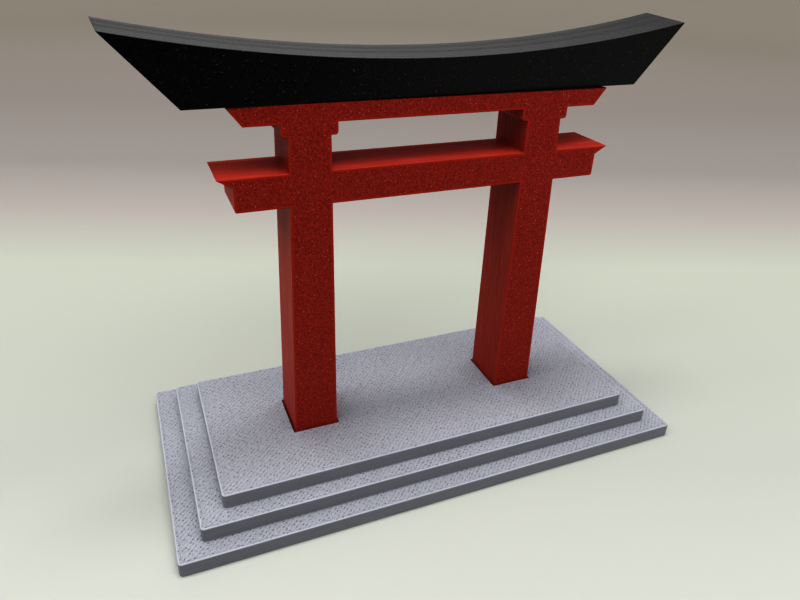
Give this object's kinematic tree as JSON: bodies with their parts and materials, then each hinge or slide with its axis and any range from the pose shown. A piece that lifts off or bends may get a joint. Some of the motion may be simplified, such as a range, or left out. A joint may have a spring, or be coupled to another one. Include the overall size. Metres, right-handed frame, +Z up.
{
  "type": "torii gate desk model",
  "caption": "Printed desk model of a torii gate: red pillared frame with crossbeams and an upswept black roof beam, standing in the sockets of a grey stepped base.",
  "frame": {"origin": "on the ground, under the middle of the stepped base", "axes": "+X along the gate from its left pillar to its right one, -Y towards the front, +Z up"},
  "size_m": [0.066, 0.0318, 0.0529],
  "materials": {
    "grey_print": "printed, satin",
    "red_print": "printed, satin",
    "black_print": "printed, satin"
  },
  "bodies": {
    "root": {"stepped_base": "grey_print", "gate_frame": "red_print", "roof_beam": "black_print"}
  },
  "joints": []
}
